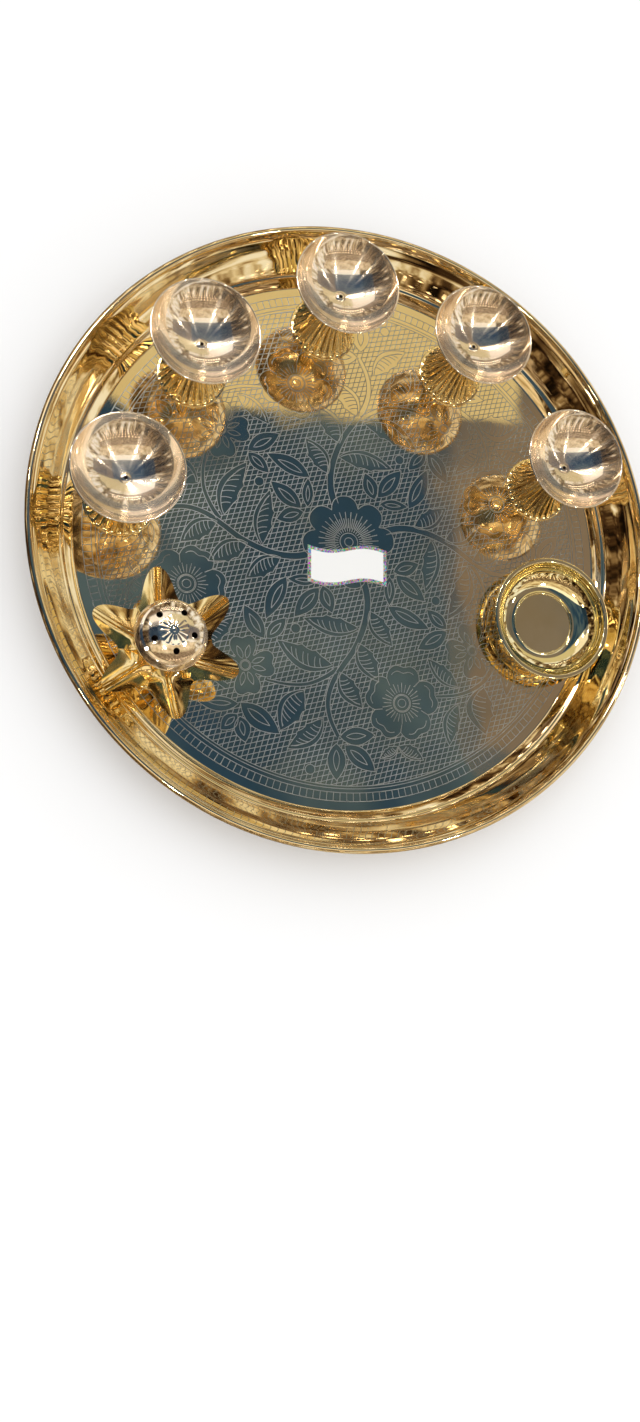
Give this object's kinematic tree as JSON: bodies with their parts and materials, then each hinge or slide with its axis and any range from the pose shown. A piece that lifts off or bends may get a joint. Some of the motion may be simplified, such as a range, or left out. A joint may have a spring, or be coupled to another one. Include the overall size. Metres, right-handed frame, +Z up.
{
  "type": "puja thali",
  "caption": "Round brass worship tray with stemmed goblets, a low katori and a lotus incense stand, all lifting off its engraved floor.",
  "frame": {"origin": "middle of the tray's underside", "axes": "+Z up; +Y from the tray's middle towards the third goblet, at the back; +X to the right"},
  "size_m": [0.283, 0.283, 0.0534],
  "materials": {
    "tray_brass": "spun and polished, with an engraved floor",
    "bowl_brass": "turned and polished, pale",
    "foot_brass": "pressed in flutes and polished",
    "katori_brass": "spun and polished",
    "petal_brass": "pressed in creases and polished",
    "rivet_brass": "polished",
    "label_paper": "coated paper with a silver edge"
  },
  "bodies": {
    "tray": {"thali_tray": "tray_brass", "blank_label": "label_paper"},
    "goblet_1": {"goblet_bowl_1": "bowl_brass", "goblet_foot_1": "foot_brass", "goblet_rivet_1": "rivet_brass"},
    "goblet_2": {"goblet_bowl_2": "bowl_brass", "goblet_foot_2": "foot_brass", "goblet_rivet_2": "rivet_brass"},
    "goblet_3": {"goblet_bowl_3": "bowl_brass", "goblet_foot_3": "foot_brass", "goblet_rivet_3": "rivet_brass"},
    "goblet_4": {"goblet_bowl_4": "bowl_brass", "goblet_foot_4": "foot_brass", "goblet_rivet_4": "rivet_brass"},
    "goblet_5": {"goblet_bowl_5": "bowl_brass", "goblet_foot_5": "foot_brass", "goblet_rivet_5": "rivet_brass"},
    "katori": {"katori": "katori_brass"},
    "incense_stand": {"incense_foot": "foot_brass", "incense_petals": "petal_brass", "incense_stem": "rivet_brass", "incense_cup": "bowl_brass", "incense_cap": "bowl_brass", "incense_rod": "rivet_brass"}
  },
  "joints": [
    {"name": "goblet_1_lift", "type": "slide", "parent": "tray", "child": "goblet_1", "axis": [0, 0, 1], "range_m": [0, 0.035]},
    {"name": "goblet_2_lift", "type": "slide", "parent": "tray", "child": "goblet_2", "axis": [0, 0, 1], "range_m": [0, 0.035]},
    {"name": "goblet_3_lift", "type": "slide", "parent": "tray", "child": "goblet_3", "axis": [0, 0, 1], "range_m": [0, 0.035]},
    {"name": "goblet_4_lift", "type": "slide", "parent": "tray", "child": "goblet_4", "axis": [0, 0, 1], "range_m": [0, 0.035]},
    {"name": "goblet_5_lift", "type": "slide", "parent": "tray", "child": "goblet_5", "axis": [0, 0, 1], "range_m": [0, 0.035]},
    {"name": "katori_lift", "type": "slide", "parent": "tray", "child": "katori", "axis": [0, 0, 1], "range_m": [0, 0.035]},
    {"name": "incense_stand_lift", "type": "slide", "parent": "tray", "child": "incense_stand", "axis": [0, 0, 1], "range_m": [0, 0.035]}
  ]
}
